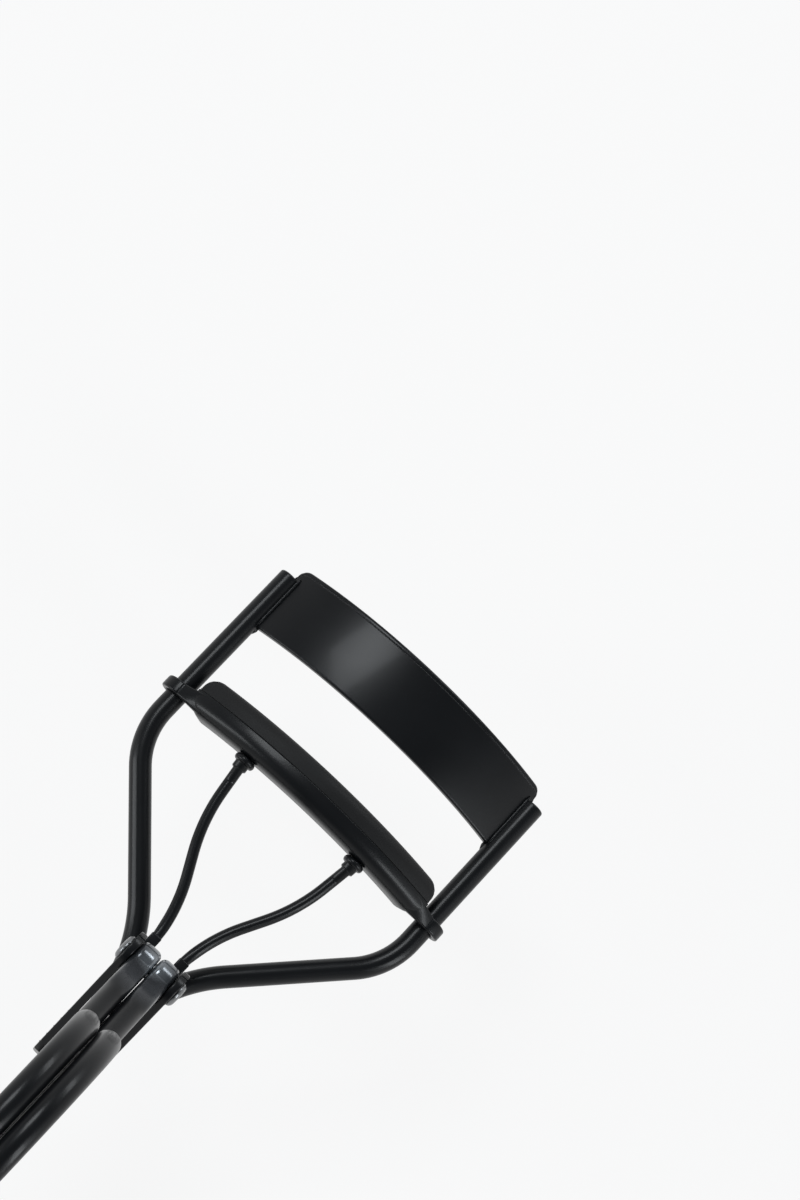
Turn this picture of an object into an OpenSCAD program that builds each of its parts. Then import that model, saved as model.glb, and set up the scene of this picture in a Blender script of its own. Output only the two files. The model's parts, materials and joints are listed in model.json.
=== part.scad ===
// Wire-frame eyelash curler, open, lying on its back.
// X runs along the hinge pin, Y towards the jaws, Z towards the user's front.
// The origin is the middle of the hinge bracket's flat back.

/* [Wires] */
// Diameter of the side rods, which also make the rear handle
rod_d = 2.4; // [2:0.1:2.6]
// Diameter of the front handle's wires
grip_d = 2.4; // [2:0.1:2.5]
// Diameter of the push rods
push_d = 1.2; // [1:0.1:1.4]
// Gap between the two wires of a handle
wire_gap = 0.1; // [0.06:0.02:0.2]

/* [Jaws] */
// Distance between the axes of the two side rods
jaw_w = 35.4; // [32:0.2:44]
// Radius of the lash curve, seen from the jaws' end
curve_r = 27; // [24:0.5:34]
// Height of the upper plate
plate_h = 8.3; // [6:0.1:11]
// Thickness of the upper plate
plate_t = 0.9; // [0.7:0.1:1.2]
// How far the plate stands past the tips of the side rods
plate_over = 1.7; // [0.4:0.1:2]
// Open gap between the pad and the upper plate
jaw_gap = 7.1; // [5.2:0.1:7.6]

/* [Moving bar and pad] */
// Depth of the pad channel, front to back
channel_w = 4; // [3.4:0.1:4.6]
// Height of the pad channel
channel_h = 2.3; // [1.8:0.1:3]
// Sheet thickness of the moving bar
sheet_t = 0.7; // [0.5:0.05:0.8]
// Gap between each end of the channel and its side rod
channel_gap = 1.2; // [0.9:0.1:3]
// How far the pad stands out of the channel
pad_proud = 2.2; // [1.5:0.1:3]
// Free play of the hooks on the side rods
hook_play = 0.1; // [0.08:0.01:0.2]

/* [Side rods] */
// Height of the straight part of the side rods
straight_h = 19.6; // [18.6:0.1:26]
// Angle at which the side rods run in to the hinge
splay = 43; // [38:1:48]
// Radius of the upper bends
upper_bend = 9; // [6:0.5:11]
// Radius of the lower bends
lower_bend = 18; // [12:1:20]

/* [Hinge] */
// Height of the hinge pin over the bracket's middle
pin_y = 9.6; // [8.2:0.1:10.6]
// Diameter of the hinge pin
pin_d = 2; // [1.6:0.1:2.2]
// Length of the ferrule part of the bracket
ferrule_l = 6.2; // [5:0.1:9]
// Sheet thickness of the bracket
bracket_t = 0.8; // [0.6:0.05:1]
// Length of the front handle's crank, hinge pin to push-rod pin
crank_l = 8.2; // [7.5:0.1:8.4]
// Diameter of the push-rod pin
crank_pin_d = 1.2; // [1:0.1:1.4]
// Angle of the crank below square, jaws open
crank_drop = 30; // [25:1:32]
// Angle of the front handle out from the rear handle, jaws open
open_angle = 49; // [36:1:60]
// Turn of the front handle that closes the jaws
closing_turn = 51; // [45:1:55]

/* [Handles] */
// Distance from the hinge pin to the middle of the finger rings
reach = 50; // [42:1:62]
// Inside diameter of the finger rings
ring_d = 21.2; // [19:0.2:25]

/* [Hidden] */
$fn = 64;

lacquer = [0.05, 0.055, 0.06];
bare_pin = [0.3, 0.31, 0.32];
rubber = [0.02, 0.02, 0.02];

// Handle wires, side by side
rod_r = rod_d / 2;
grip_r = grip_d / 2;
rod_x = jaw_w / 2;
shaft_x = (rod_d + wire_gap) / 2;
grip_x = (grip_d + wire_gap) / 2;

// Depths, from the bracket's flat back; seat is the gap of pieces that touch
seat = 0.02;
rod_z = bracket_t + seat + rod_r;
rod_front = rod_z + rod_r;

// Bracket: its ears stand just outside both pairs of wires
ear_play = 0.05;
ear_wall = 1.3;
back_lip = 1.2;
front_lip = 0.4;
pin_head_t = 0.6;
pin_head_lip = 0.7;
ear_in = max(shaft_x + rod_r, grip_x + grip_r) + ear_play;
ear_out = ear_in + bracket_t;
ear_r = pin_d / 2 + ear_wall;
ferrule_z = rod_front + back_lip;
ear_root_z = rod_front + front_lip;

// Crank and push-rod eyes, clear of the side rods behind them
fit = 0.01;
sleeve_l = 0.2;
pin_play = 0.05;
eye_play = 0.1;
eye_wall = 0.65;
eye_shift = 0.045;
eye_r = crank_pin_d / 2 + eye_play + eye_wall;
eye_slot = crank_l * (1 - cos(closing_turn / 2));
eye_t = 0.8;
eye_gap = 0.13;
crank_clear = 0.6;
crank_in = seat;
crank_t = grip_r + 0.05;
eye_in = crank_in + crank_t + eye_gap;
pin_z = rod_front + crank_clear + eye_r + crank_l;
crank_y = pin_y - crank_l * sin(crank_drop);
crank_z = pin_z - crank_l * cos(crank_drop);
boss_wall = 1;
boss_r = pin_d / 2 + boss_wall;

// Side rods, from the lower bends up to the tips
bend_gap = 0.3;
bend_y = ferrule_l / 2 + bend_gap;
run_x = shaft_x + lower_bend * (1 - cos(splay));
run_y = bend_y + lower_bend * sin(splay);
upper_x = rod_x - upper_bend * (1 - cos(splay));
upper_y = run_y + (upper_x - run_x) / tan(splay);
straight_y = upper_y + upper_bend * sin(splay);
tip_y = straight_y + straight_h;

// Jaws, from the plate down to the channel
plate_top = tip_y + plate_over;
plate_low = plate_top - plate_h;
plate_lap = 0.7;
plate_drop = 0.11;
plate_x = rod_x - plate_lap * rod_r;
plate_half = asin(plate_x / curve_r);
curve_z = rod_z - plate_drop - sqrt(curve_r * curve_r - plate_x * plate_x);
pad_top = plate_low - jaw_gap;
channel_top = pad_top - pad_proud;
channel_low = channel_top - channel_h;
channel_out = curve_r + channel_w / 2;
channel_half = asin((rod_x - rod_r - channel_gap) / curve_r);
pad_end = 0.5;
pad_half = channel_half - pad_end;
pad_edge = 0.5;
pad_play = 0.03;
pad_lap = 0.5;

// Hooks of the moving bar, wrapped round the front and outside of each rod
hook_r = rod_r + hook_play;
hook_drop = 0.3;
hook_h = channel_h - hook_drop;
hook_lap = 0.1;
hook_root = 0.6;
hook_start = 210;
hook_wrap = 210;

// Push rods: a flat tail, a bend out, a run, a bend back and a straight top
push_r = push_d / 2;
tail_x = eye_in + eye_t / 2;
tail_w = 2;
tail_lap = 0.5;
bend_out = 28;
top_lean = 8;
out_bend = 18;
back_bend = 20;
run_l = 2.5;
top_l = 3.4;
ball_r = 0.75 * push_d;
ball_gap = 0.05;
round_y = out_bend * sin(bend_out) + run_l * cos(bend_out)
          + back_bend * (sin(bend_out) - sin(top_lean)) + top_l * cos(top_lean);
ball_x = tail_x + out_bend * (1 - cos(bend_out)) + run_l * sin(bend_out)
         + back_bend * (cos(top_lean) - cos(bend_out)) + top_l * sin(top_lean);
ball_y = channel_low - ball_r - ball_gap;
ball_z = curve_z + sqrt(curve_r * curve_r - ball_x * ball_x);
push_lean = atan((ball_z - crank_z) / (ball_y - crank_y));
push_l = norm([ball_z - crank_z, ball_y - crank_y]);
hole_r = push_r + 0.2;
head_r = push_r + 0.6;
head_h = 0.5;
head_gap = 0.1;
pocket_gap = 0.3;
pocket_h = head_gap + head_h + pocket_gap;

// Finger rings: gap between the end of the wire and its shaft
ring_r = ring_d / 2;
ring_gap = 0.1;

// A round bar of length l that leaves the origin along +Y
module bar_y(r, l) {
    rotate([-90, 0, 0]) cylinder(r = r, h = l);
}

// A hair-thin sleeve round the place where a bend meets a straight bar
module sleeve(r) {
    translate([0, -sleeve_l / 2, 0]) bar_y(r + fit, sleeve_l);
}

// A straight bar between two bends, with a sleeve at each end
module joined_bar(r, l) {
    translate([0, fit, 0]) bar_y(r, l - 2 * fit);
    sleeve(r);
    translate([0, l, 0]) sleeve(r);
}

// A round bar that leaves the origin along +Y and bends towards +X
module bend_x(r, bend, angle) {
    translate([bend, 0, 0])
        rotate([0, 0, 180 - angle])
            rotate_extrude(angle = angle)
                translate([bend, 0]) circle(r);
}

// A profile swept along the lash curve: its x is the distance from the
// curve's axis and its y is the height in the frame
module lash_sweep(half) {
    translate([0, 0, curve_z])
        rotate([-90, 0, 0])
            rotate_extrude(angle = 2 * half, start = 270 - half, $fn = 180)
                children();
}

// A handle wire: a shaft that runs along -Y from start below the hinge pin,
// then a finger ring that bulges to +Z, with its end tucked against the shaft
module looped_wire(r, start) {
    loop_r = ring_r + r;
    turn = 360 - acos(1 - (2 * r + ring_gap) / loop_r);
    translate([0, fit - reach, 0]) bar_y(r, reach - start - fit);
    translate([0, -reach, 0]) sleeve(r);
    translate([0, -reach, loop_r])
        rotate([180, 90, 0])
            rotate_extrude(angle = turn, $fn = 96)
                translate([loop_r, 0]) circle(r);
}

// The right side rod, on down through the ferrule to the rear ring
module frame_wire() {
    color(lacquer) {
        translate([shaft_x, bend_y, rod_z]) bend_x(rod_r, lower_bend, splay);
        translate([run_x, run_y, rod_z])
            rotate([0, 0, -splay])
                joined_bar(rod_r, norm([upper_x - run_x, upper_y - run_y]));
        translate([rod_x, straight_y, rod_z])
            rotate([0, 0, 180]) bend_x(rod_r, upper_bend, splay);
        translate([rod_x, straight_y, rod_z]) {
            translate([0, fit, 0]) bar_y(rod_r, straight_h - fit);
            sleeve(rod_r);
        }
        translate([shaft_x, bend_y, rod_z]) sleeve(rod_r);
        translate([shaft_x, pin_y, rod_z])
            rotate([0, 180, 0]) looped_wire(rod_r, pin_y - bend_y + fit);
    }
}

module left_frame_wire() { mirror([1, 0, 0]) frame_wire(); }

module right_frame_wire() { frame_wire(); }

module upper_plate() {
    color(lacquer)
        difference() {
            lash_sweep(plate_half)
                translate([curve_r - plate_t / 2, plate_low])
                    square([plate_t, plate_h]);
            for (side = [-1, 1])
                translate([side * rod_x, straight_y, rod_z])
                    bar_y(rod_r + fit, straight_h + plate_over + 1);
        }
}

// One ear of the bracket, as a sheet of the bracket's thickness from x = 0
module ear() {
    lean = atan2(pin_z - ferrule_z, pin_y);
    across = ear_r * [-sin(lean), cos(lean)];
    pin = [pin_y, pin_z];
    rotate([90, 0, 90])
        linear_extrude(bracket_t)
            difference() {
                union() {
                    translate(pin) circle(ear_r);
                    polygon([[-ferrule_l / 2, 0], [ferrule_l / 2, 0],
                             [ferrule_l / 2, ear_root_z],
                             pin - across, pin + across,
                             [-ferrule_l / 2, ferrule_z]]);
                }
                translate(pin) circle(pin_d / 2 + fit);
            }
}

module hinge_bracket() {
    color(lacquer) {
        translate([-ear_out, -ferrule_l / 2, 0])
            cube([2 * ear_out, ferrule_l, bracket_t]);
        translate([ear_in, 0, 0]) ear();
        translate([-ear_out, 0, 0]) ear();
    }
}

module hinge_pin() {
    color(bare_pin)
        translate([0, pin_y, pin_z])
            rotate([0, 90, 0]) {
                cylinder(d = pin_d, h = 2 * ear_out, center = true);
                for (side = [-1, 1])
                    translate([0, 0, side * (ear_out + pin_head_t / 2)])
                        cylinder(r = pin_d / 2 + pin_head_lip, h = pin_head_t, center = true);
            }
}

// The right wire of the front handle, with its boss and flattened crank
module grip_wire() {
    boss_t = grip_x + grip_r - ear_play - crank_in;
    color(lacquer)
        translate([0, pin_y, pin_z])
            difference() {
                union() {
                    translate([grip_x, 0, 0])
                        rotate([-open_angle, 0, 0]) looped_wire(grip_r, 0);
                    translate([crank_in, 0, 0])
                        rotate([0, 90, 0]) cylinder(r = boss_r, h = boss_t);
                    rotate([-crank_drop, 0, 0]) {
                        translate([crank_in, -eye_r, -crank_l])
                            cube([crank_t, 2 * eye_r, crank_l]);
                        translate([crank_in, 0, -crank_l])
                            rotate([0, 90, 0]) cylinder(r = eye_r, h = crank_t);
                    }
                }
                rotate([0, 90, 0])
                    cylinder(r = pin_d / 2 + pin_play, h = 6 * grip_r, center = true);
                rotate([-crank_drop, 0, 0])
                    translate([0, 0, -crank_l])
                        rotate([0, 90, 0])
                            cylinder(d = crank_pin_d + 2 * fit, h = 6 * grip_r, center = true);
            }
}

module left_grip_wire() { mirror([1, 0, 0]) grip_wire(); }

module right_grip_wire() { grip_wire(); }

module crank_pin() {
    pin_half = eye_in + eye_t + 0.2;
    color(bare_pin)
        translate([0, crank_y, crank_z])
            rotate([0, 90, 0])
                cylinder(d = crank_pin_d, h = 2 * pin_half, center = true);
}

// The flattened end of a push rod, hung from [0, 0, 0] at the pin's centre:
// the eye is a slot, because the pin swings in an arc and the eye doesn't
module push_eye(top) {
    hole = crank_pin_d / 2 + eye_play;
    translate([-eye_t / 2, -eye_shift, 0])
        difference() {
            union() {
                for (z = [0, -eye_slot])
                    translate([0, 0, z])
                        rotate([0, 90, 0]) cylinder(r = eye_r, h = eye_t);
                translate([0, -eye_r, -eye_slot]) cube([eye_t, 2 * eye_r, eye_slot]);
                translate([0, 0, -tail_w / 2]) cube([eye_t, top + eye_shift + tail_lap, tail_w]);
            }
            for (z = [0, -eye_slot])
                translate([-1, 0, z])
                    rotate([0, 90, 0]) cylinder(r = hole, h = eye_t + 2);
            translate([-1, -hole, -eye_slot]) cube([eye_t + 2, 2 * hole, eye_slot]);
        }
}

// The right push rod, riveted through the floor of the moving bar
module push_rod() {
    neck_l = ball_r + ball_gap + sheet_t + head_gap;
    run_end = [sin(top_lean), cos(top_lean)] * top_l;
    bend_end = [tail_x - ball_x + out_bend * (1 - cos(bend_out)),
                out_bend * sin(bend_out) - round_y];
    color(lacquer)
        translate([ball_x, ball_y, ball_z])
            rotate([push_lean, 0, 0]) {
                sphere(ball_r);
                bar_y(push_r, neck_l + head_h / 2);
                translate([0, neck_l, 0]) bar_y(head_r, head_h);
                rotate([0, 0, 180 - top_lean]) bar_y(push_r, top_l - fit);
                translate([-run_end.x, -run_end.y, 0])
                    rotate([0, 0, 180 - top_lean]) {
                        sleeve(push_r);
                        bend_x(push_r, back_bend, bend_out - top_lean);
                    }
                translate([bend_end.x, bend_end.y, 0])
                    rotate([0, 0, -bend_out]) joined_bar(push_r, run_l);
                translate([tail_x - ball_x, -round_y, 0])
                    bend_x(push_r, out_bend, bend_out);
                translate([tail_x - ball_x, -push_l, 0])
                    push_eye(push_l - round_y);
            }
}

module left_push_rod() { mirror([1, 0, 0]) push_rod(); }

module right_push_rod() { push_rod(); }

// The hook at the right end of the moving bar, and the tab that carries it
module bar_hook() {
    wall_out = channel_out - hook_lap;
    wall_in = channel_out - sheet_t + hook_lap;
    root = channel_half - hook_root;
    translate([0, channel_low + hook_h, 0])
        rotate([90, 0, 0])
            linear_extrude(hook_h)
                polygon([[wall_out * sin(root), curve_z + wall_out * cos(root)],
                         [rod_x, rod_z + hook_r + sheet_t - hook_lap],
                         [rod_x, rod_z + hook_r - hook_lap],
                         [wall_in * sin(root), curve_z + wall_in * cos(root)]]);
    translate([rod_x, channel_low, rod_z])
        rotate([-90, 0, 0])
            rotate([0, 0, hook_start])
                rotate_extrude(angle = hook_wrap)
                    translate([hook_r - hook_lap, 0])
                        square([sheet_t + hook_lap, hook_h]);
}

module moving_bar() {
    inner = curve_r - channel_w / 2;
    color(lacquer)
        difference() {
            union() {
                lash_sweep(channel_half)
                    translate([inner, channel_low])
                        difference() {
                            square([channel_w, channel_h]);
                            translate([sheet_t, sheet_t])
                                square([channel_w - 2 * sheet_t, channel_h]);
                        }
                for (side = [0, 1])
                    mirror([side, 0, 0]) bar_hook();
            }
            for (side = [-1, 1]) {
                translate([side * rod_x, straight_y, rod_z])
                    bar_y(hook_r, straight_h);
                translate([side * ball_x, ball_y, ball_z])
                    bar_y(hole_r, channel_h);
            }
        }
}

module rubber_pad() {
    inner_w = channel_w - 2 * sheet_t - 2 * pad_play;
    bed = channel_low + sheet_t + seat;
    head_w = channel_w - 2 * pad_play;
    color(rubber)
        difference() {
            lash_sweep(pad_half) {
                translate([curve_r - inner_w / 2, bed])
                    square([inner_w, channel_top - bed + pad_lap]);
                translate([curve_r, channel_top + seat])
                    polygon([[-head_w / 2, 0], [head_w / 2, 0],
                             [head_w / 2, pad_proud - seat - pad_edge],
                             [head_w / 2 - pad_edge, pad_proud - seat],
                             [pad_edge - head_w / 2, pad_proud - seat],
                             [-head_w / 2, pad_proud - seat - pad_edge]]);
            }
            for (side = [-1, 1])
                translate([side * ball_x, bed - 1, ball_z])
                    bar_y(head_r + pocket_gap, 1 + pocket_h);
        }
}

left_frame_wire();
right_frame_wire();
upper_plate();
hinge_bracket();
hinge_pin();
left_grip_wire();
right_grip_wire();
crank_pin();
left_push_rod();
right_push_rod();
moving_bar();
rubber_pad();
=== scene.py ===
import json
import math

import bmesh
import bpy
from mathutils import Matrix, Vector

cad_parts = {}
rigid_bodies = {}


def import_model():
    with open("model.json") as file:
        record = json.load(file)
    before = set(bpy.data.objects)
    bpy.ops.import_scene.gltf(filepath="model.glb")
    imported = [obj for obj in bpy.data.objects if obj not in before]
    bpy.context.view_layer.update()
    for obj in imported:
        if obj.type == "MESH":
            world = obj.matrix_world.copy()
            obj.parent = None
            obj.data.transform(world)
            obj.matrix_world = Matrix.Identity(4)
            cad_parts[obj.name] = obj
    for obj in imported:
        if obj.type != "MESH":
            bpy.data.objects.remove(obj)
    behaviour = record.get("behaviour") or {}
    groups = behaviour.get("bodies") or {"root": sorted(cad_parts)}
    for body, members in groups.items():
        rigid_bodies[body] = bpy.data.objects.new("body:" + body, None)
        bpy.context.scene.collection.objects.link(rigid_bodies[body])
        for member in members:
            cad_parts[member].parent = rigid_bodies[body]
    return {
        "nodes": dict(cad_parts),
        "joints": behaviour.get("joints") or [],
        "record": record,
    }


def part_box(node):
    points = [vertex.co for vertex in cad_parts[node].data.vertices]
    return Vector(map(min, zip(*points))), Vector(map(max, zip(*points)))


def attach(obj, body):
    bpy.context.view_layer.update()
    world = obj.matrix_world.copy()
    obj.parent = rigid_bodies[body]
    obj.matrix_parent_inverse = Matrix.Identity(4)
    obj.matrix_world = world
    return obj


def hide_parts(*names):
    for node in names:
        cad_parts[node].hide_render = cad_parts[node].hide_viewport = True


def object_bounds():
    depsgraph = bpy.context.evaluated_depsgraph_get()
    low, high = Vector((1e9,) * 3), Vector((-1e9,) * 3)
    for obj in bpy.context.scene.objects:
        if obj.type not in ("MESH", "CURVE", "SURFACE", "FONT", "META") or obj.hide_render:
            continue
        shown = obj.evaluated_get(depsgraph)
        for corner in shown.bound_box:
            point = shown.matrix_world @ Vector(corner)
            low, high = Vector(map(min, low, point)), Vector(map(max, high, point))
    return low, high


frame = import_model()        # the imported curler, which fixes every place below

mm = 0.001
cadLow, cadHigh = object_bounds()
print("frame loaded:", len(frame["nodes"]), "nodes")


# where things are, in millimetres, taken from the frame
def boxOf(node):
    low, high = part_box(node)
    return low / mm, high / mm


def jointPoint(name):
    return next(Vector(j["pos_m"]) / mm for j in frame["joints"] if j["name"] == name)


wire = {
    "radius": 1.2,        # side rods and both handles
    "gap": 0.1,           # between the two wires of a handle
    "tipEdge": 0.22,      # rounding of the rods' cut tips
    "sides": 40,
}
rodHigh = boxOf("right_frame_wire")[1]
plateLow, plateHigh = boxOf("upper_plate")
barLow, barHigh = boxOf("moving_bar")
padLow, padHigh = boxOf("rubber_pad")
crankLow, crankHigh = boxOf("crank_pin")
hinge = jointPoint("handle_hinge")
ball = jointPoint("push_rod_swing")
crankPin = (crankLow + crankHigh) / 2
rodX = rodHigh.x - wire["radius"]
rodZ = rodHigh.z - wire["radius"]
shaftX = wire["radius"] + wire["gap"] / 2


# small mesh tools
def newMesh(name, points, faces, material):
    mesh = bpy.data.meshes.new(name)
    mesh.from_pydata([Vector(p) * mm for p in points], [], faces)
    box = bmesh.new()
    box.from_mesh(mesh)
    bmesh.ops.remove_doubles(box, verts=box.verts, dist=1e-7)
    bmesh.ops.recalc_face_normals(box, faces=box.faces)
    box.to_mesh(mesh)
    box.free()
    mesh.shade_smooth()
    mesh.materials.append(material)
    piece = bpy.data.objects.new(name, mesh)
    bpy.context.scene.collection.objects.link(piece)
    return piece


def loft(rings, closed=False):
    # points and faces of a skin over rings of equal count, capped unless it closes on itself
    count = len(rings[0])
    points = [p for ring in rings for p in ring]
    faces = []
    for i in range(len(rings) if closed else len(rings) - 1):
        a, b = i * count, (i + 1) % len(rings) * count
        faces += [(a + k, a + (k + 1) % count, b + (k + 1) % count, b + k) for k in range(count)]
    if not closed:
        faces.append(tuple(range(count - 1, -1, -1)))
        faces.append(tuple(range(len(points) - count, len(points))))
    return points, faces


def merged(*skins):
    points, faces = [], []
    for some, theirs in skins:
        base = len(points)
        points += some
        faces += [tuple(base + k for k in face) for face in theirs]
    return points, faces


def mirrored(skin):
    points, faces = skin
    return [Vector((-p[0], p[1], p[2])) for p in points], [tuple(reversed(f)) for f in faces]


def rounded(corners, steps=5):
    # a closed outline whose corners, given as (u, v, size), are rounded off
    outline = []
    for k, (u, v, size) in enumerate(corners):
        here = Vector((u, v))
        before, after = (Vector(corners[(k + d) % len(corners)][:2]) for d in (-1, 1))
        start = here + (before - here).normalized() * size
        end = here + (after - here).normalized() * size
        for i in range(steps + 1):
            t = i / steps
            outline.append(start * (1 - t) ** 2 + here * 2 * t * (1 - t) + end * t * t)
    return outline


def slab(halfU, halfV, corner, steps=5):
    return rounded([(-halfU, -halfV, corner), (halfU, -halfV, corner),
                    (halfU, halfV, corner), (-halfU, halfV, corner)], steps)


def inset(outline, depth):
    # the outline, drawn in by depth
    if depth < 1e-6:
        return outline
    moved = []
    for k, here in enumerate(outline):
        along = outline[(k + 1) % len(outline)] - outline[k - 1]
        moved.append(here + Vector((-along.y, along.x)).normalized() * depth)
    return moved


def edgeSteps(edge, count=4):
    # (distance from the end, depth of inset) that round an end off
    turns = [math.pi / 2 * k / count for k in range(count + 1)]
    return [(edge * (1 - math.cos(t)), edge * (1 - math.sin(t))) for t in turns]


def oval(halfU, halfV, power, count=32):
    # a circle at power 2, nearly a rectangle at 6
    loop = []
    for k in range(count):
        c, s = math.cos(2 * math.pi * k / count), math.sin(2 * math.pi * k / count)
        loop.append(Vector((math.copysign(abs(c) ** (2 / power), c) * halfU,
                            math.copysign(abs(s) ** (2 / power), s) * halfV)))
    return loop


def turned(profile, place, count=48):
    # a skin turned about the X axis through place, from a profile of (x, radius)
    rings = []
    for x, radius in profile:
        turns = [2 * math.pi * k / count for k in range(count)]
        rings.append([place + Vector((x, radius * math.cos(t), radius * math.sin(t))) for t in turns])
    return loft(rings)


def smoothStep(low, high, x):
    t = max(0.0, min(1.0, (x - low) / (high - low)))
    return t * t * (3 - 2 * t)


def walk(start, heading, moves, spacing=0.5):
    # points of a flat path of ("run", length) and ("bend", radius, degrees) moves, left bends positive
    here, points = Vector(start), [Vector(start)]
    for kind, size, *rest in moves:
        if kind == "run":
            steps = max(2, round(size / spacing))
            ahead = Vector((math.cos(heading), math.sin(heading)))
            points += [here + ahead * size * (k + 1) / steps for k in range(steps)]
        else:
            turn = math.radians(rest[0])
            side = math.copysign(1, turn)
            centre = here + Vector((-math.sin(heading), math.cos(heading))) * size * side
            steps = max(4, round(abs(turn) * size / spacing))
            for k in range(steps):
                a = heading + turn * (k + 1) / steps - side * math.pi / 2
                points.append(centre + Vector((math.cos(a), math.sin(a))) * size)
            heading += turn
        here = points[-1]
    return points


# shader maths
class Value:
    # a shader socket that takes part in Python sums
    def __init__(self, sheet, socket):
        self.sheet, self.socket = sheet, socket

    def sum(self, operation, *terms):
        return self.sheet.node("ShaderNodeMath", {"operation": operation}, dict(enumerate(terms)))

    def __add__(self, other):
        return self.sum("ADD", self, other)

    def __radd__(self, other):
        return self.sum("ADD", other, self)

    def __sub__(self, other):
        return self.sum("SUBTRACT", self, other)

    def __rsub__(self, other):
        return self.sum("SUBTRACT", other, self)

    def __mul__(self, other):
        return self.sum("MULTIPLY", self, other)

    def __rmul__(self, other):
        return self.sum("MULTIPLY", other, self)


class Sheet:
    # one material's nodes
    def __init__(self, name):
        self.material = bpy.data.materials.new(name)
        self.material.use_nodes = True
        self.tree = self.material.node_tree
        self.shader = self.tree.nodes["Principled BSDF"]
        self.place = self.node("ShaderNodeTexCoord", {}, {}, "Object")

    def node(self, kind, settings, inputs, output=0):
        made = self.tree.nodes.new(kind)
        for key, setting in settings.items():
            if key == "stops":
                for stop, (position, colour) in zip(made.color_ramp.elements, setting):
                    stop.position, stop.color = position, colour
            else:
                setattr(made, key, setting)
        for key, value in inputs.items():
            self.feed(made.inputs[key], value)
        return Value(self, made.outputs[output])

    def feed(self, socket, value):
        if isinstance(value, Value):
            self.tree.links.new(value.socket, socket)
        else:
            socket.default_value = value

    def noise(self, size, detail=2.0, stretch=(1, 1, 1)):
        # noise whose lumps are about size millimetres across
        spot = self.node("ShaderNodeMapping", {}, {"Vector": self.place, "Scale": stretch})
        return self.node("ShaderNodeTexNoise", {},
                         {"Vector": spot, "Scale": 1 / (size * mm), "Detail": detail})

    def mask(self, value, low, high):
        return self.node("ShaderNodeMapRange", {"interpolation_type": "SMOOTHSTEP"},
                         {"Value": value, "From Min": low, "From Max": high})

    def mix(self, factor, first, second):
        return self.node("ShaderNodeMix", {"data_type": "RGBA"}, {0: factor, 6: first, 7: second}, 2)

    def bump(self, height, distance, strength=1.0):
        return self.node("ShaderNodeBump", {},
                         {"Height": height, "Distance": distance * mm, "Strength": strength})

    def finish(self, **sockets):
        for name, value in sockets.items():
            self.feed(self.shader.inputs[name.replace("_", " ")], value)
        return self.material


def blackLacquer():
    look = {"dark": (0.0045, 0.005, 0.0058, 1), "light": (0.007, 0.0078, 0.009, 1),
            "roughness": 0.3, "peel": 0.9}
    s = Sheet("black lacquer")
    cloud = s.noise(7, 3)
    dust = s.mask(s.noise(0.16, 1), 0.74, 0.8)
    peel = s.noise(look["peel"], 2)
    grain = s.noise(0.12, 2)
    colour = s.mix(cloud, look["dark"], look["light"])
    colour = s.mix(dust * 0.35, colour, (0.04, 0.043, 0.047, 1))
    rough = look["roughness"] - 0.05 + cloud * 0.1 + grain * 0.03 + dust * 0.08
    height = peel * 0.7 + grain * 0.3
    return s.finish(Base_Color=colour, Roughness=rough, Metallic=0.0, Specular_IOR_Level=0.2,
                    Coat_Weight=0.08, Coat_Roughness=0.12, Normal=s.bump(height, 0.0012))


def pressedLacquerAndHighlight():
    # front handle: near the pin the wire was pressed, and the lacquer lies thin over bright plating; that
    # brighter colour near the pin is also a painted highlight on the noses
    look = {"bareAndHighlight": 2.2, "pressed": 5.5, "plain": 9.0}
    s = Sheet("pressed lacquer and painted highlight")
    away = s.node("ShaderNodeVectorMath", {"operation": "DISTANCE"}, {0: s.place, 1: hinge * mm}, "Value")
    draw = s.noise(0.25, 3, (1, 0.12, 0.12))
    cloud = s.noise(2.2, 3)
    fade = s.mask(away + cloud * 0.0016, look["pressed"] * mm, look["plain"] * mm)
    bareAndHighlight = 1 - s.mask(away + cloud * 0.0012, look["bareAndHighlight"] * mm, (look["bareAndHighlight"] + 1.6) * mm)
    plain = s.mix(cloud, (0.0045, 0.005, 0.0058, 1), (0.007, 0.0078, 0.009, 1))
    # the thin and bare colours are partly worn lacquer over plating and partly a painted highlight,
    # brightened to stand in for reflections on the noses
    thin = s.mix(cloud, (0.024, 0.026, 0.03, 1), (0.06, 0.065, 0.073, 1))
    colour = s.mix(fade, s.mix(bareAndHighlight, thin, (0.24, 0.26, 0.28, 1)), plain)
    rough = 0.15 + cloud * 0.09 + draw * 0.05 + fade * 0.1
    return s.finish(Base_Color=colour, Roughness=rough, Metallic=(1 - fade) * 0.5 + bareAndHighlight * 0.35,
                    Specular_IOR_Level=0.2, Coat_Weight=(1 - fade) * 0.35 + 0.08,
                    Coat_Roughness=0.1, Normal=s.bump(draw * (1 - fade), 0.006))


def pinSteel():
    s = Sheet("pin steel")
    turn = s.noise(0.18, 3, (8, 1, 1))
    cloud = s.noise(1.2, 3)
    colour = s.mix(cloud, (0.13, 0.135, 0.14, 1), (0.26, 0.265, 0.27, 1))
    return s.finish(Base_Color=colour, Roughness=0.2 + turn * 0.16, Metallic=1.0,
                    Normal=s.bump(turn, 0.01))


def blackRubber():
    s = Sheet("black rubber")
    grain = s.noise(0.09, 3)
    cloud = s.noise(3, 3)
    bloom = s.mask(s.noise(5, 4), 0.5, 0.75)
    colour = s.mix(cloud, (0.004, 0.0042, 0.0045, 1), (0.0075, 0.0078, 0.0083, 1))
    colour = s.mix(bloom * 0.3, colour, (0.014, 0.015, 0.016, 1))
    rough = 0.5 + grain * 0.12 + bloom * 0.1
    return s.finish(Base_Color=colour, Roughness=rough, Metallic=0.0, Specular_IOR_Level=0.25,
                    Normal=s.bump(grain * 0.6 + cloud * 0.4, 0.012))


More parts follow.
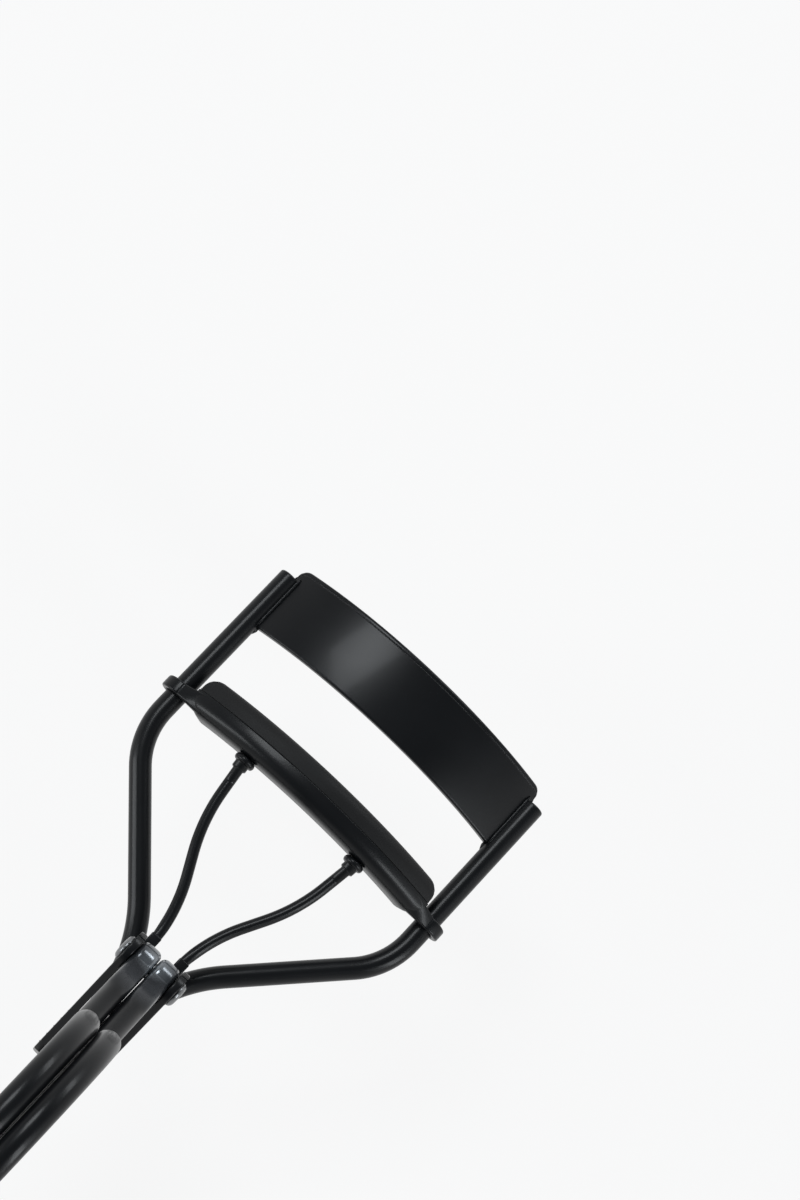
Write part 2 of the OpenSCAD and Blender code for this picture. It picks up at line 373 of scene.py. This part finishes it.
lacquer, pressed, steel, rubber = blackLacquer(), pressedLacquerAndHighlight(), pinSteel(), blackRubber()
for subpart in frame["record"]["subparts"]:
    materials = frame["nodes"][subpart["node"]].data.materials
    materials.clear()
    materials.append({"pin_steel": steel, "black_rubber": rubber}.get(subpart["material_slot"], lacquer))
print("materials made")


# geometry nodes
class Branch:
    # a geometry node tree that is built by calls and ends in Realize Instances and Set Material
    def __init__(self, name, sizes):
        self.tree = bpy.data.node_groups.new(name, "GeometryNodeTree")
        face = self.tree.interface
        face.new_socket("Geometry", in_out="INPUT", socket_type="NodeSocketGeometry")
        self.ids = {}
        for label, kind in {**sizes, "Material": "NodeSocketMaterial"}.items():
            self.ids[label] = face.new_socket(label, in_out="INPUT", socket_type=kind).identifier
        face.new_socket("Geometry", in_out="OUTPUT", socket_type="NodeSocketGeometry")
        self.start = self.tree.nodes.new("NodeGroupInput")

    def node(self, kind, settings, inputs, output=0):
        made = self.tree.nodes.new(kind)
        for key, setting in settings.items():
            setattr(made, key, setting)
        for key, value in inputs.items():
            if isinstance(value, bpy.types.NodeSocket):
                self.tree.links.new(value, made.inputs[key])
            else:
                made.inputs[key].default_value = value
        return made.outputs[output]

    def end(self, shape):
        shape = self.node("GeometryNodeRealizeInstances", {}, {"Geometry": shape})
        shape = self.node("GeometryNodeSetShadeSmooth", {}, {"Geometry": shape})
        shape = self.node("GeometryNodeSetMaterial", {},
                          {"Geometry": shape, "Material": self.start.outputs["Material"]})
        self.tree.links.new(shape, self.tree.nodes.new("NodeGroupOutput").inputs["Geometry"])
        return self


def sweptWireTree():
    # a line of points with a wireRadius each, swept into a round wire
    b = Branch("swept wire", {"Sides": "NodeSocketInt"})
    line = b.node("GeometryNodeMeshToCurve", {}, {"Mesh": b.start.outputs["Geometry"]})
    ring = b.node("GeometryNodeCurvePrimitiveCircle", {},
                  {"Resolution": b.start.outputs["Sides"], "Radius": 1.0})
    thick = b.node("GeometryNodeInputNamedAttribute", {"data_type": "FLOAT"}, {"Name": "wireRadius"})
    return b.end(b.node("GeometryNodeCurveToMesh", {}, {"Curve": line, "Profile Curve": ring,
                                                        "Scale": thick, "Fill Caps": True}))


def studTree():
    # a small round stud on every point
    b = Branch("studs", {"Radius": "NodeSocketFloat"})
    stud = b.node("GeometryNodeMeshUVSphere", {}, {"Segments": 14, "Rings": 8,
                                                   "Radius": b.start.outputs["Radius"]})
    return b.end(b.node("GeometryNodeInstanceOnPoints", {}, {"Points": b.start.outputs["Geometry"],
                                                             "Instance": stud}))


sweptWire, studs = sweptWireTree(), studTree()


def grown(name, seed, branch, sizes, material):
    # runs a node tree on the seed mesh and keeps the result as a plain mesh
    holder = bpy.data.objects.new(name + "Seed", seed)
    bpy.context.scene.collection.objects.link(holder)
    live = holder.modifiers.new("grow", "NODES")
    live.node_group = branch.tree
    for label, value in {**sizes, "Material": material}.items():
        live[branch.ids[label]] = value
    graph = bpy.context.evaluated_depsgraph_get()
    mesh = bpy.data.meshes.new_from_object(holder.evaluated_get(graph))
    holder.modifiers.remove(live)
    bpy.data.objects.remove(holder)
    shape = bmesh.new()
    shape.from_mesh(mesh)
    bmesh.ops.recalc_face_normals(shape, faces=shape.faces)
    shape.to_mesh(mesh)
    shape.free()
    piece = bpy.data.objects.new(name, mesh)
    bpy.context.scene.collection.objects.link(piece)
    return piece


def wireSeed(name, paths):
    # each path is a list of (point, radius) in millimetres
    points, edges, radii = [], [], []
    for path in paths:
        base = len(points)
        points += [p * mm for p, radius in path]
        radii += [radius * mm for p, radius in path]
        edges += [(base + k, base + k + 1) for k in range(len(path) - 1)]
    seed = bpy.data.meshes.new(name)
    seed.from_pydata(points, edges, [])
    seed.attributes.new("wireRadius", "FLOAT", "POINT").data.foreach_set("value", radii)
    return seed


def withEnds(points, radius, startEdge, endEdge):
    # (point, radius) pairs of a round wire whose two ends are rounded off
    pairs = [(p, radius) for p in points]
    for edge, tip, nextOne, atStart in ((startEdge, points[0], points[1], True),
                                        (endEdge, points[-1], points[-2], False)):
        ahead = (nextOne - tip).normalized()
        cap = [(tip + ahead * s, max(0.02, radius - d)) for s, d in edgeSteps(edge, 6)]
        keep = [pair for pair in pairs if (pair[0] - tip).length > edge * 1.05]
        pairs = cap + keep if atStart else keep + cap[::-1]
    return pairs


def mirrorX(pairs):
    return [(Vector((-p.x, p.y, p.z)), radius) for p, radius in pairs]


def settle(piece, body, slot, *nodes):
    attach(piece, body)
    if nodes:
        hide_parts(*nodes)
    return piece


# side rods, which run down into the rear handle
ring = {"inside": 21.2, "reach": 50, "endGap": 0.1, "endRound": 0.9}
loopR = ring["inside"] / 2 + wire["radius"]
loopTurn = 360 - math.degrees(math.acos(1 - (2 * wire["radius"] + ring["endGap"]) / loopR))


def sideRods():
    size = {"splay": 43, "upperBend": 9, "lowerBend": 18, "straight": 19.6}
    straightY = rodHigh.y - size["straight"]
    splay = math.radians(size["splay"])
    drop = size["upperBend"] * (1 - math.cos(splay))
    rise = size["lowerBend"] * (1 - math.cos(splay))
    middle = (rodX - drop - shaftX - rise) / math.sin(splay)
    bendY = straightY - (size["upperBend"] + size["lowerBend"]) * math.sin(splay) - middle * math.cos(splay)
    shaftEnd = hinge.y - ring["reach"]
    # the finger ring, from its free end round to the shaft, in the plane of (y, z)
    loop = walk((shaftEnd, rodZ), math.pi, [("bend", loopR, loopTurn)])
    flat = walk((shaftX, shaftEnd), math.pi / 2, [
        ("run", bendY - shaftEnd), ("bend", size["lowerBend"], -size["splay"]), ("run", middle),
        ("bend", size["upperBend"], size["splay"]), ("run", size["straight"])])
    points = [Vector((shaftX, p.x, p.y)) for p in reversed(loop)]
    points += [Vector((p.x, p.y, rodZ)) for p in flat[1:]]
    right = withEnds(points, wire["radius"], ring["endRound"], wire["tipEdge"])
    for name, path in (("right", right), ("left", mirrorX(right))):
        rod = grown(name + "SideRod", wireSeed(name, [path]), sweptWire, {"Sides": wire["sides"]}, lacquer)
        settle(rod, "frame", "black_lacquer", name + "_frame_wire")


sideRods()
print("side rods done")


# everything that follows the lash curve
lash = {"radius": 27, "plate": 0.9}
curveZ = plateHigh.z - lash["radius"] - lash["plate"] / 2


def onLash(offset, y, angle):
    # a point at offset in front of the lash curve, turned by angle from the middle
    r = lash["radius"] + offset
    return Vector((r * math.sin(angle), y, curveZ + r * math.cos(angle)))


def lashSweep(outline, half, edge, steps=96, shape=None):
    # the outline, as (offset, y), carried along the lash curve with rounded ends
    ends = [(s / lash["radius"], d) for s, d in edgeSteps(edge)]
    angles = [(-half + s, d) for s, d in ends]
    angles += [(-half * (1 - 2 * k / steps), 0) for k in range(2, steps - 1)]
    angles += [(half - s, d) for s, d in reversed(ends)]
    rings = []
    for angle, depth in angles:
        loop = inset(outline, depth)
        rings.append([onLash(p.x, shape(p.y, angle) if shape else p.y, angle) for p in loop])
    return loft(rings)


def cornered(base, edge, half, corner):
    # rounds the two corners of a swept shape on its edge side, in its own curved surface
    span = edge - base

    def shape(y, angle):
        into = corner - (half - abs(angle)) * lash["radius"]
        if into <= 0 or (y - base) * span <= 0:
            return y
        fall = corner - math.sqrt(max(0, corner ** 2 - into ** 2))
        return base + (y - base) * (abs(span) - fall) / abs(span)
    return shape


def upperPlate():
    size = {"corner": 1.1, "edge": 0.16, "rimDown": 0.5, "rimWide": 0.1, "rimDeep": 0.05, "half": 38.9}
    front = lash["plate"] / 2
    top, low = plateHigh.y, plateLow.y
    rim = top - size["rimDown"]
    outline = rounded([(-front, low, 0.2), (front, low, 0.28), (front, rim - size["rimWide"], 0.05),
                       (front - size["rimDeep"], rim - size["rimWide"] / 2, 0.05),
                       (front, rim, 0.05), (front, top, 0.3), (-front, top, 0.2)], 4)
    half = math.radians(size["half"])

    skin = lashSweep(outline, half, size["edge"], 160,
                     cornered(low, top, half, size["corner"]))
    settle(newMesh("upperPlate", *skin, lacquer), "frame", "black_lacquer", "upper_plate")


def plateSeams():
    # the brazed beads where the plate meets each rod, in front and on the inner side
    size = {"front": 0.2, "inner": 0.42, "below": 1.0, "top": 1.3, "wave": 0.05}
    paths = []
    for radius, x, z, low in ((size["front"], rodX - 1.0, rodZ + 0.7, plateLow.y + 0.1),
                              (size["inner"], rodX - 1.0, rodZ - 0.1, plateLow.y - size["below"])):
        high = plateHigh.y - size["top"]
        count = 40
        path = []
        for k in range(count + 1):
            y = low + (high - low) * k / count
            swell = 1 + size["wave"] * (math.sin(y * 5.1) + math.sin(y * 11.3 + 1))
            path.append((Vector((x, y, z)), radius * swell * min(1, 0.25 + min(k, count - k) / 4)))
        paths += [path, mirrorX(path)]
    settle(grown("plateSeams", wireSeed("seams", paths), sweptWire, {"Sides": 16}, lacquer),
           "frame", "black_lacquer")


def movingBar():
    size = {"width": 4, "height": 2.3, "sheet": 0.7, "half": 34.52, "edge": 0.2, "bottomBack": 1.4,
            "bottomFront": 1.65, "innerCorner": 0.9, "hookPlay": 0.1, "hookWrap": 212, "thin": 0.75,
            "endCorner": 1.3, "hookCorner": 0.22, "hookBlunt": 0.24,
            "rootBand": (0.12, 2.2), "neckBand": (0.3, 1.75), "tipBand": (0.42, 1.5)}
    w, h, t = size["width"] / 2, size["height"], size["sheet"]
    y = barLow.y
    inner = size["innerCorner"]
    outline = rounded([(-w, y, size["bottomBack"]), (w, y, size["bottomFront"]), (w, y + h, 0.14),
                       (w - t, y + h, 0.2), (w - t, y + t, inner), (t - w, y + t, inner),
                       (t - w, y + h, 0.25), (-w, y + h, 0.3)], 8)
    half = math.radians(size["half"])
    channel = lashSweep(outline, half, size["edge"], 160, cornered(y + h, y, half, size["endCorner"]))
    # the hook runs on from the front wall, over the rod and round its outside
    wall = w - t / 2
    hookR = wire["radius"] + size["hookPlay"] + t / 2
    root = math.radians(size["half"] - 4)
    start, along = onLash(wall, 0, root), Vector((math.cos(root), 0, -math.sin(root)))
    crown = Vector((rodX, 0, rodZ + hookR))
    over, wrapped = 16, 48
    path = [start]
    for k in range(1, over + 1):
        a = k / over
        bow = start + along * (crown - start).length * a
        path.append(bow.lerp(start.lerp(crown, a), a))
    turns = math.radians(size["hookWrap"])
    for k in range(1, wrapped + 1):
        a = math.pi / 2 - turns * k / wrapped
        path.append(Vector((rodX + hookR * math.cos(a), 0, rodZ + hookR * math.sin(a))))
    rings = []
    total = len(path) - 1
    for k, p in enumerate(path):
        ahead = (path[min(k + 1, total)] - path[max(k - 1, 0)]).normalized()
        out = Vector((-ahead.z, 0, ahead.x))
        onRod, onTip = smoothStep(0, over + 2, k), smoothStep(over, total, k)
        band = [a + (b - a) * onRod + (c - b) * onTip
                for a, b, c in zip(size["rootBand"], size["neckBand"], size["tipBand"])]
        tall = band[1] - band[0]
        thick = t * (1 - (1 - size["thin"]) * onTip)
        loop = slab(thick / 2, tall / 2, size["hookCorner"])
        blunt = min(1, (total - k) / 5)
        loop = inset(loop, size["hookBlunt"] * (1 - math.sqrt(1 - (1 - blunt) ** 2)))
        ring = []
        for q in loop:
            high = band[0] + tall / 2 + q.y
            # at its root the strip still has the wall's rounded foot
            foot = size["bottomFront"] * max(0, 1 - math.sqrt(max(0, high) / size["bottomFront"])) ** 2
            ring.append(p + out * (q.x - foot * (1 - onRod)) + Vector((0, y + high, 0)))
        rings.append(ring)
    hook = loft(rings)
    settle(newMesh("movingBar", *merged(channel, hook, mirrored(hook)), lacquer),
           "lash_bar", "black_lacquer", "moving_bar")


def rubberPad():
    size = {"neck": 1.26, "head": 2.0, "crown": 1.5, "half": 34.3, "end": 0.3, "corner": 1.2}
    n, h = size["neck"], size["head"]
    low, top = padLow.y, padHigh.y
    brim = barHigh.y + 0.01
    half = math.radians(size["half"])
    outline = rounded([(-n, low, 0.1), (n, low, 0.1), (n, brim, 0.05), (h, brim, 0.04),
                       (h, top, size["crown"]), (-h, top, size["crown"]), (-h, brim, 0.04),
                       (-n, brim, 0.05)], 6)
    above = cornered(brim, top, half, size["corner"])
    below = cornered(brim, low, half, size["corner"])
    skin = lashSweep(outline, half, size["end"], 160, lambda y, angle: below(above(y, angle), angle))
    settle(newMesh("rubberPad", *skin, rubber), "lash_bar", "black_rubber", "rubber_pad")


upperPlate()
plateSeams()
movingBar()
rubberPad()
print("jaws done")


# push rods
def pushRods():
    size = {"radius": 0.6, "tailThick": 0.8, "tailWide": 2.0, "out": 28, "top": 8,
            "outBend": 18, "backBend": 20, "run": 2.5, "topRun": 3.4, "rivet": 1.2,
            "wireEnd": 1.9, "body": 0.82, "flange": 1.22, "rise": 0.9, "eyeRadius": 1.35,
            "hole": 0.7, "slot": 0.8, "neck": 2.3,
            "shoulder": (6.4, 7.9), "shoulderHalf": (0.62, 1.12),
            "shoulderEdge": 0.16, "shoulderOut": 0.12, "flatFade": (3.5, 8.5)}
    length = (ball - Vector((0, crankPin.y, crankPin.z))).length
    lean = math.atan2(ball.z - crankPin.z, ball.y - crankPin.y)
    out, top = math.radians(size["out"]), math.radians(size["top"])
    rise = (size["outBend"] * math.sin(out) + size["run"] * math.cos(out)
            + size["backBend"] * (math.sin(out) - math.sin(top)) + size["topRun"] * math.cos(top))
    reach = (size["outBend"] * (1 - math.cos(out)) + size["run"] * math.sin(out)
             + size["backBend"] * (math.cos(top) - math.cos(out)) + size["topRun"] * math.sin(top))
    ballX = boxOf("right_push_rod")[1].x - size["rivet"]
    tailX = ballX - reach
    turn = Matrix.Rotation(lean, 3, "X")
    centre = Vector((ballX, ball.y, ball.z))

    def place(x, along, z):
        # x sideways, along the rod from the crank pin, z in front
        return centre + turn @ Vector((x - ballX, along - length, z))

    start = size["eyeRadius"] * 0.8
    path = walk((tailX, start), math.pi / 2, [
        ("run", length - rise - start), ("bend", size["outBend"], -size["out"]), ("run", size["run"]),
        ("bend", size["backBend"], size["out"] - size["top"]),
        ("run", size["topRun"] - size["wireEnd"])], 0.4)
    rings = []
    for k, p in enumerate(path):
        ahead = (path[min(k + 1, len(path) - 1)] - path[max(k - 1, 0)]).normalized()
        side = Vector((ahead.y, -ahead.x))
        gone = p.y - start
        flat = 1 - smoothStep(*size["flatFade"], gone)
        loop = oval(size["radius"] + (size["tailThick"] / 2 - size["radius"]) * flat,
                    size["radius"] + (size["tailWide"] / 2 - size["radius"]) * flat, 2 + 4 * flat)
        rings.append([place(p.x + side.x * q.x, p.y + side.y * q.x, q.y) for q in loop])
    rod = loft(rings)
    # a round body and a flange under the bar, and the neck that goes up through it
    tip = path[-1]
    tilt = Vector((math.sin(top), math.cos(top)))
    body, flange, under = size["body"], size["flange"], size["wireEnd"] + size["rise"]
    stack = [(0, 0.6), (under - 1.5, 0.6), (under - 1.44, 0.7), (under - 1.34, body), (under - 0.8, body),
             (under - 0.76, body + 0.05)]
    for k in range(9):
        a = math.pi * k / 8
        stack.append((under - 0.37 - 0.36 * math.cos(a), flange - 0.26 * (1 - math.sin(a))))
    stack += [(under, 0.58), (size["wireEnd"] + size["neck"], 0.55)]
    rings = []
    for s, radius in stack:
        bent = smoothStep(size["wireEnd"] - 0.4, size["wireEnd"] + 0.1, s)
        aim = tilt.lerp(Vector((0, 1)), bent).normalized()
        beyond = max(0, s - size["wireEnd"])
        mid = tip + tilt * (s - beyond) + Vector((0, 1)) * beyond
        side = Vector((aim.y, -aim.x))
        turns = [2 * math.pi * k / 32 for k in range(32)]
        rings.append([place(mid.x + side.x * radius * math.cos(a), mid.y + side.y * radius * math.cos(a),
                            radius * math.sin(a)) for a in turns])
    knob = loft(rings)
    # the flat eye, a slot round the crank pin
    wide = (size["eyeRadius"] - size["hole"]) / 2
    mean = (size["eyeRadius"] + size["hole"]) / 2
    rings = []
    for k in range(64):
        a = 2 * math.pi * (k + 0.5) / 64
        drop = -size["slot"] if math.sin(a) < 0 else 0
        cut = slab(wide, size["tailThick"] / 2, 0.1)
        rings.append([place(tailX + q.y, (mean + q.x) * math.cos(a), drop + (mean + q.x) * math.sin(a))
                      for q in cut])
    eye = loft(rings, closed=True)
    # the square shoulder above the eye
    low, high = size["shoulder"]
    wideHalf, deepHalf = size["shoulderHalf"]
    rings = []
    edges = edgeSteps(size["shoulderEdge"])
    for s, depth in [(low + s, d) for s, d in edges] + [(high - s, d) for s, d in reversed(edges)]:
        block = slab(wideHalf - depth, deepHalf - depth, size["shoulderEdge"])
        rings.append([place(tailX + size["shoulderOut"] + q.x, s, q.y) for q in block])
    right = merged(rod, knob, eye, loft(rings))
    for name, skin in (("right", right), ("left", mirrored(right))):
        settle(newMesh(name + "PushRod", *skin, lacquer), "push_rods", "black_lacquer", name + "_push_rod")


pushRods()
print("push rods done")


# hinge
def hingePin():
    size = {"radius": 1.0, "head": 1.38, "headThick": 0.6}
    half = boxOf("hinge_pin")[1].x
    inner = half - size["headThick"]
    dome = [(half - 0.06, 0.02), (half - 0.05, 0.3), (half, 0.5), (half - 0.03, 0.9),
            (half - 0.1, 1.12), (half - 0.25, 1.3), (half - 0.4, size["head"]),
            (inner + 0.02, size["head"]), (inner, size["head"] - 0.05)]
    profile = [(-x, r) for x, r in dome] + [(-inner, size["radius"]), (inner, size["radius"])] + dome[::-1]
    settle(newMesh("hingePin", *turned(profile, hinge), steel), "frame", "pin_steel", "hinge_pin")


def crankPinPiece():
    size = {"radius": 0.6, "head": 0.92, "headThick": 0.17}
    half = crankHigh.x
    inner = half - size["headThick"]
    dome = [(half, 0.02), (half, 0.45), (half - 0.03, 0.75), (half - 0.09, size["head"]),
            (inner, size["head"] - 0.02)]
    profile = [(-x, r) for x, r in dome] + [(-inner, size["radius"]), (inner, size["radius"])] + dome[::-1]
    piece = newMesh("crankPin", *turned(profile, crankPin, 32), steel)
    settle(piece, "front_handle", "pin_steel", "crank_pin")


def hingeBracket():
    size = {"sheet": 0.8, "fold": 1.0, "depth": 3.1, "backRoot": 4.42, "frontRoot": 3.62,
            "earRadius": 2.3, "corner": 0.2}
    half = boxOf("hinge_bracket")[1].x - size["sheet"] / 2
    t, d = size["sheet"] / 2, size["depth"]
    pin = Vector((hinge.y, hinge.z))
    along = (pin - Vector((0, size["backRoot"]))).normalized()
    across = Vector((-along.y, along.x))
    # pairs of (back edge, front edge) down one ear, as (y, z)
    pairs = []
    for k in range(13):
        a = math.pi / 2 * (1 - k / 12) + 1e-3
        tip = pin + along * size["earRadius"] * math.sin(a)
        wide = across * size["earRadius"] * math.cos(a)
        pairs.append((tip + wide, tip - wide))
    root = (Vector((-d, size["backRoot"])), Vector((d, size["frontRoot"])))
    low = (Vector((-d, size["fold"])), Vector((d, size["fold"])))
    last = pairs[-1]
    pairs += [(last[0].lerp(root[0], k / 10), last[1].lerp(root[1], k / 10)) for k in range(1, 11)]
    pairs += [(root[0].lerp(low[0], k / 5), root[1].lerp(low[1], k / 5)) for k in range(1, 6)]
    stations = [(Vector((half, 0, 0)), Vector((1, 0, 0)), a, b) for a, b in pairs]
    bend = size["fold"] - t
    for k in range(1, 9):
        a = math.pi / 2 * k / 8
        out = Vector((math.cos(a), 0, -math.sin(a)))
        z = size["fold"] - bend * math.sin(a)
        x = half - bend * (1 - math.cos(a))
        stations.append((Vector((x, 0, 0)), out, Vector((-d, z)), Vector((d, z))))
    mirror = [(Vector((-p.x, 0, 0)), Vector((-n.x, 0, n.z)), a, b) for p, n, a, b in reversed(stations)]
    rings = []
    for place, out, back, front in stations + mirror:
        mid, arm = (back + front) / 2, (front - back) / 2
        corner = min(size["corner"], arm.length * 0.5)
        loop = slab(t, max(arm.length, 0.02), corner)
        ahead = arm.normalized()
        rings.append([place + out * q.x + Vector((0, mid.x + ahead.x * q.y, mid.y + ahead.y * q.y))
                      for q in loop])
    settle(newMesh("hingeBracket", *loft(rings), lacquer), "frame", "black_lacquer", "hinge_bracket")


def bracketDots():
    # a row of small punch marks raised on each side of the bracket
    size = {"count": 5, "pitch": 1.05, "radius": 0.11, "height": 2.3}
    side = boxOf("hinge_bracket")[1].x - size["radius"] * 0.45
    start = -size["pitch"] * (size["count"] - 1) / 2
    places = [Vector((x, start + size["pitch"] * k, size["height"])) * mm
              for x in (-side, side) for k in range(size["count"])]
    seed = bpy.data.meshes.new("dots")
    seed.from_pydata(places, [], [])
    dots = grown("bracketDots", seed, studs, {"Radius": size["radius"] * mm}, pressed)
    settle(dots, "frame", "black_lacquer")


hingePin()
crankPinPiece()
hingeBracket()
bracketDots()
print("hinge done")


# front handle
def frontHandle():
    size = {"open": 49, "crankDrop": 30, "crank": 8.2, "boss": 2.0, "inside": 0.04, "armThick": 1.25,
            "arm": 1.35, "press": 7.5, "pressFade": 2.5, "flare": 4, "edge": 0.72}
    r = wire["radius"]
    pin = Vector((hinge.y, hinge.z))
    heading = math.radians(180 - size["open"])
    moves = [("run", ring["reach"]), ("bend", loopR, -loopTurn)]
    path = walk((pin.x, pin.y), heading, moves)
    gone, rings = 0, []
    caps = edgeSteps(ring["endRound"], 6)
    ends = [(path[-1] + (path[-2] - path[-1]).normalized() * s, d) for s, d in caps]
    kept = [(p, 0) for p in path if (p - path[-1]).length > ring["endRound"] * 1.05] + ends[::-1]
    for k, (p, depth) in enumerate(kept):
        ahead = (kept[min(k + 1, len(kept) - 1)][0] - kept[max(k - 1, 0)][0]).normalized()
        side = Vector((-ahead.y, ahead.x))
        gone += (p - kept[k - 1][0]).length if k else 0
        press = 1 - smoothStep(size["press"] - size["pressFade"], size["press"], gone)
        loop = oval(r - depth, (r - depth) * (1 + 0.08 * press), 2 + 2.6 * press, 40)
        rings.append([Vector((shaftX + q.x, p.x + side.x * q.y, p.y + side.y * q.y)) for q in loop])
    shaft = loft(rings)
    e = size["edge"]
    outer = shaftX + r
    profile = [(size["inside"], 0.02)]
    profile += [(size["inside"] + s, size["boss"] - d) for s, d in edgeSteps(e, 8)]
    profile += [(outer - s, size["boss"] - d) for s, d in reversed(edgeSteps(e, 8))] + [(outer, 0.02)]
    boss = turned(profile, hinge)
    down = Vector((-math.sin(math.radians(size["crankDrop"])), -math.cos(math.radians(size["crankDrop"]))))
    cross = Vector((-down.y, down.x))
    stops = [size["crank"] * k / 16 for k in range(17)]
    stops += [size["crank"] + size["arm"] * math.sin(math.pi / 2 * k / 10) for k in range(1, 11)]
    rings = []
    for s in stops:
        half = size["arm"] + (size["boss"] - 0.1 - size["arm"]) * (1 - smoothStep(0, size["flare"], s))
        if s > size["crank"]:
            half = math.sqrt(max(0.0004, size["arm"] ** 2 - (s - size["crank"]) ** 2))
        thick = size["armThick"] / 2
        loop = slab(thick, half, min(0.22, half * 0.6))
        mid = pin + down * s
        rings.append([Vector((size["inside"] + thick + q.x, mid.x + cross.x * q.y, mid.y + cross.y * q.y))
                      for q in loop])
    arm = loft(rings)
    right = merged(shaft, boss, arm)
    for name, skin in (("right", right), ("left", mirrored(right))):
        settle(newMesh(name + "FrontHandle", *skin, pressed), "front_handle", "black_lacquer",
               name + "_grip_wire")


frontHandle()
print("front handle done")


# floor, light and camera
def studio():
    size = {"floor": 1.2, "colour": 0.985, "glow": 0.88}
    bpy.ops.mesh.primitive_grid_add(size=size["floor"] * 2)
    floor = bpy.context.object
    floor.name = "floor"
    floor.location = (0, 0, cadLow.z - 0.2 * mm)
    s = Sheet("pale floor")
    path = s.node("ShaderNodeLightPath", {}, {}, "Is Camera Ray")
    mirror = s.node("ShaderNodeLightPath", {}, {}, "Is Glossy Ray")
    glow = s.node("ShaderNodeEmission", {}, {"Color": (size["colour"],) * 3 + (1,), "Strength": 1.0})
    s.finish(Base_Color=(0.86, 0.86, 0.86, 1), Roughness=0.9, Specular_IOR_Level=0.0)
    both = s.node("ShaderNodeMixShader", {}, {0: (path + mirror) * size["glow"],
                                              1: Value(s, s.shader.outputs[0]), 2: glow})
    s.tree.links.new(both.socket, s.tree.nodes["Material Output"].inputs[0])
    floor.data.materials.append(s.material)

    world = bpy.data.worlds.new("studio")
    bpy.context.scene.world = world
    world.use_nodes = True
    nodes, links = world.node_tree.nodes, world.node_tree.links
    back, output = nodes["Background"], nodes["World Output"]
    back.inputs[0].default_value, back.inputs[1].default_value = (0.9, 0.95, 1, 1), 0.16
    shown = nodes.new("ShaderNodeBackground")
    shown.inputs[0].default_value = (size["colour"],) * 3 + (1,)
    rays = nodes.new("ShaderNodeLightPath")
    seen = nodes.new("ShaderNodeMath")
    seen.operation = "MAXIMUM"
    both = nodes.new("ShaderNodeMath")
    both.operation = "MAXIMUM"
    links.new(rays.outputs["Is Camera Ray"], seen.inputs[0])
    links.new(rays.outputs["Is Transmission Ray"], seen.inputs[1])
    # a mirror-like surface sees the backdrop low down, and a dim ceiling overhead
    spot = nodes.new("ShaderNodeTexCoord")
    split = nodes.new("ShaderNodeSeparateXYZ")
    links.new(spot.outputs["Generated"], split.inputs[0])
    ramp = nodes.new("ShaderNodeMapRange")
    ramp.interpolation_type = "SMOOTHSTEP"
    for key, value in (("From Min", 0.15), ("From Max", 0.75), ("To Min", 0.8), ("To Max", 0.0)):
        ramp.inputs[key].default_value = value
    links.new(split.outputs[2], ramp.inputs["Value"])
    low = nodes.new("ShaderNodeMath")
    low.operation = "MULTIPLY"
    links.new(ramp.outputs[0], low.inputs[0])
    links.new(rays.outputs["Is Glossy Ray"], low.inputs[1])
    links.new(seen.outputs[0], both.inputs[0])
    links.new(low.outputs[0], both.inputs[1])
    mixed = nodes.new("ShaderNodeMixShader")
    links.new(both.outputs[0], mixed.inputs[0])
    links.new(back.outputs[0], mixed.inputs[1])
    links.new(shown.outputs[0], mixed.inputs[2])
    links.new(mixed.outputs[0], output.inputs[0])


def lamps():
    # name: (direction from the jaws, distance, width, height, power)
    rig = {
        "keyLamp": ((-0.46, 0.24, 0.85), 0.6, 0.2, 0.2, 1.1),
        "sideLamp": ((0.85, -0.1, 0.5), 0.7, 0.12, 0.5, 1.5),
        "lowLamp": ((-0.75, -0.55, 0.45), 0.7, 0.15, 0.5, 1.5),
        "topLamp": ((0.1, 0.85, 0.55), 0.7, 0.4, 0.15, 1.2),
    }
    aim = Vector((0, plateLow.y, plateLow.z)) * mm
    for name, (direction, distance, width, height, power) in rig.items():
        lamp = bpy.data.lights.new(name, "AREA")
        lamp.shape, lamp.size, lamp.size_y, lamp.energy = "RECTANGLE", width, height, power
        lamp.color = (0.93, 0.97, 1.0)
        holder = bpy.data.objects.new(name, lamp)
        bpy.context.scene.collection.objects.link(holder)
        back = Vector(direction).normalized()
        holder.location = aim + back * distance
        holder.rotation_euler = back.to_track_quat("Z", "Y").to_euler()


def camera():
    # looks down on the open jaws, leaning back towards the handles and rolled
    size = {"pitch": 13.8, "azimuth": 0.9, "roll": 43.3, "lens": 100, "distance": 353,
            "right": -1.3, "up": 9.7}
    data = bpy.data.cameras.new("camera")
    data.lens, data.sensor_width, data.clip_start, data.clip_end = size["lens"], 36, 0.01, 20
    holder = bpy.data.objects.new("camera", data)
    bpy.context.scene.collection.objects.link(holder)
    pitch, roll = math.radians(size["pitch"]), math.radians(size["roll"])
    back = Vector((0, -math.sin(pitch), math.cos(pitch)))
    rise = Vector((0, math.cos(pitch), math.sin(pitch)))
    swing = math.radians(size["azimuth"])
    across = Vector((1, 0, 0)) * math.cos(swing) - back * math.sin(swing)
    back = back * math.cos(swing) + Vector((1, 0, 0)) * math.sin(swing)
    right = across * math.cos(roll) + rise * math.sin(roll)
    up = rise * math.cos(roll) - across * math.sin(roll)
    tips = Vector((0, rodHigh.y, rodZ))
    aim = tips + right * size["right"] + up * size["up"]
    turn = Matrix((right, up, back)).transposed().to_4x4()
    holder.matrix_world = Matrix.Translation((aim + back * size["distance"]) * mm) @ turn
    bpy.context.scene.camera = holder


studio()
lamps()
camera()
bpy.context.scene.view_settings.view_transform = "Standard"
print("studio done")
